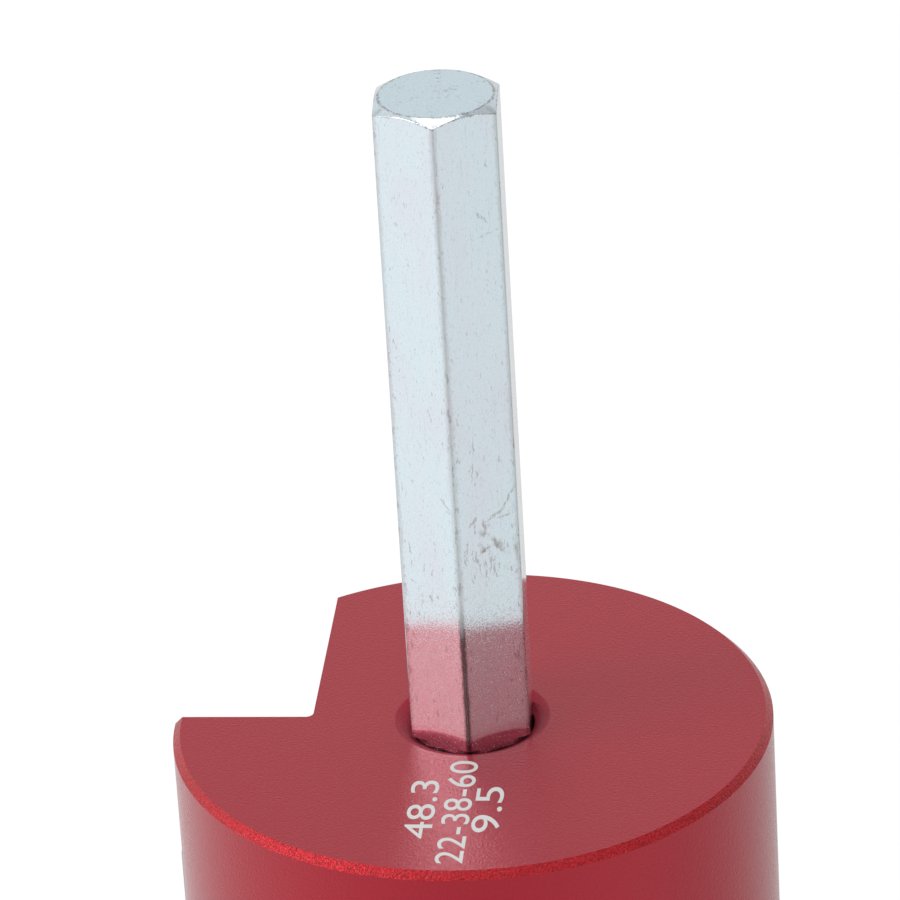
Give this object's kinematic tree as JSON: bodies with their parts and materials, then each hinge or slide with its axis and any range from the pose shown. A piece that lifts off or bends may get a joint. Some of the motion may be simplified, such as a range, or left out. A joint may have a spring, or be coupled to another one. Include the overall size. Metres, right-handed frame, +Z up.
{
  "type": "pipe reamer",
  "caption": "Drill-driven reamer that clears a pipe stub from a plastic fitting's socket: hex shank, notched round body, blade at the shoulder and a stepped pilot.",
  "frame": {"origin": "centre of the pilot's end face, at the foot of the tool", "axes": "+Z up the axis of the body and shank, towards the drill; the blade's rake face lies in the plane y = 0 on the -X side and faces +Y, into the chip notch"},
  "size_m": [0.0481, 0.048, 0.1146],
  "materials": {
    "red_anodised_aluminium": "fine bead-blasted, dyed red and anodised, satin",
    "zinc_plated_steel": "bright zinc plate with a faint blue cast over a drawn bar",
    "ground_tool_steel": "hardened and surface-ground",
    "black_oxide_steel": "black oxide, slightly oily"
  },
  "bodies": {
    "root": {"reamer_body": "red_anodised_aluminium", "hex_shank": "zinc_plated_steel", "cutter_blade": "ground_tool_steel", "blade_screw_lower": "black_oxide_steel", "blade_screw_upper": "black_oxide_steel", "shank_grub_screw_lower": "black_oxide_steel", "shank_grub_screw_upper": "black_oxide_steel", "end_washer": "zinc_plated_steel", "end_screw": "black_oxide_steel"}
  },
  "joints": []
}
